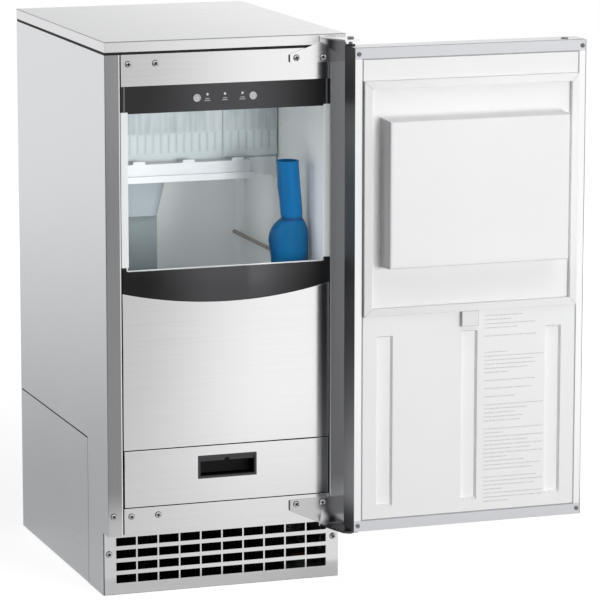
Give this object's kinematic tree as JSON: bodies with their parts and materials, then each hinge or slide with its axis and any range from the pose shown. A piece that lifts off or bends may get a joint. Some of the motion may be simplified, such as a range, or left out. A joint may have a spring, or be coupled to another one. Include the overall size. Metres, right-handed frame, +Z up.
{
  "type": "cube ice machine",
  "caption": "Undercounter stainless cube ice machine with a hinged insulated door, ice bin with scoop, swinging slat curtain over the ice maker, lower drawer and slotted kick plate.",
  "frame": {"origin": "middle of the cabinet's underside on the floor", "axes": "+X to the right seen from the front, +Y from the front to the back, +Z up"},
  "size_m": [0.735, 0.655, 0.848],
  "materials": {
    "stainless_sheet": "satin",
    "galvanised_sheet": "matte",
    "bracket_steel": "satin",
    "screw_steel": "satin",
    "white_liner": "satin",
    "door_white": "satin",
    "soft_white": "matte",
    "foam": "matte",
    "charcoal_plastic": "satin",
    "black_plastic": "satin",
    "black_seal": "matte",
    "button_grey": "satin",
    "lamp_lens": "gloss",
    "circuit_board": "satin",
    "grey_plastic": "satin",
    "clear_plastic": "gloss",
    "clear_hose": "gloss",
    "blue_plastic": "gloss",
    "tinned_copper": "satin",
    "copper": "satin",
    "black_shell": "satin",
    "fin_aluminium": "satin"
  },
  "bodies": {
    "cabinet": {"base_pan": "galvanised_sheet", "left_side_panel": "stainless_sheet", "right_side_panel": "stainless_sheet", "left_access_panel": "stainless_sheet", "right_access_panel": "stainless_sheet", "back_panel": "galvanised_sheet", "top_panel": "stainless_sheet", "top_gasket": "black_seal", "bin_liner": "white_liner", "insulation": "foam", "header_panel": "stainless_sheet", "control_bezel": "charcoal_plastic", "status_lamps": "lamp_lens", "control_board": "circuit_board", "lip_bezel": "black_plastic", "lower_front_panel": "stainless_sheet", "lower_rail": "stainless_sheet", "kick_plate": "stainless_sheet", "front_screws": "screw_steel", "top_hinge_bracket": "bracket_steel", "bottom_hinge_bracket": "bracket_steel", "hinge_pins": "screw_steel", "drawer_runners": "galvanised_sheet", "evaporator": "tinned_copper", "sump": "white_liner", "water_pump": "black_plastic", "drain_duct": "white_liner", "spray_bar": "grey_plastic", "ice_chute": "white_liner", "curtain_rod": "screw_steel", "thermostat_tube": "tinned_copper", "scoop_holder": "white_liner", "compressor": "black_shell", "condenser": "fin_aluminium", "fan_shroud": "galvanised_sheet", "fan_motor": "black_shell", "filter_drier": "copper", "refrigerant_lines": "copper", "control_box": "galvanised_sheet", "water_valve": "black_plastic", "water_tubes": "clear_hose", "drain_outlet": "grey_plastic", "power_inlet": "black_plastic"},
    "door": {"door_skin": "stainless_sheet", "door_liner": "door_white", "door_foam": "foam", "door_gasket": "soft_white", "door_handle": "stainless_sheet", "door_screws": "screw_steel", "hinge_bushes": "grey_plastic", "hinge_hole_caps": "grey_plastic"},
    "drawer": {"drawer_front": "stainless_sheet", "drawer_pull": "black_plastic", "drawer_tray": "grey_plastic"},
    "power_button": {"power_button": "button_grey"},
    "clean_button": {"clean_button": "button_grey"},
    "curtain_left": {"curtain_left": "clear_plastic"},
    "curtain_right": {"curtain_right": "clear_plastic"},
    "fan": {"fan_blade": "black_plastic"},
    "scoop": {"scoop": "blue_plastic"}
  },
  "joints": [
    {"name": "door_hinge", "type": "hinge", "parent": "cabinet", "child": "door", "pos_m": [0.18, -0.297, 0], "axis": [0, 0, 1], "range_deg": [-180, 0]},
    {"name": "drawer_slide", "type": "slide", "parent": "cabinet", "child": "drawer", "axis": [0, -1, 0], "range_m": [0, 0.19]},
    {"name": "power_button_press", "type": "slide", "parent": "cabinet", "child": "power_button", "axis": [0, 1, 0], "range_m": [0, 0.0015], "stiffness_N_per_m": 400},
    {"name": "clean_button_press", "type": "slide", "parent": "cabinet", "child": "clean_button", "axis": [0, 1, 0], "range_m": [0, 0.0015], "stiffness_N_per_m": 400},
    {"name": "curtain_left_swing", "type": "hinge", "parent": "cabinet", "child": "curtain_left", "pos_m": [0, -0.04, 0.737], "axis": [-1, 0, 0], "range_deg": [0, 55]},
    {"name": "curtain_right_swing", "type": "hinge", "parent": "cabinet", "child": "curtain_right", "pos_m": [0, -0.04, 0.737], "axis": [-1, 0, 0], "range_deg": [0, 55]},
    {"name": "fan_spin", "type": "hinge", "parent": "cabinet", "child": "fan", "pos_m": [-0.02, -0.149, 0.061], "axis": [0, 1, 0], "continuous": true},
    {"name": "scoop_lift", "type": "slide", "parent": "cabinet", "child": "scoop", "axis": [0, 0, 1], "range_m": [0, 0.08]}
  ]
}
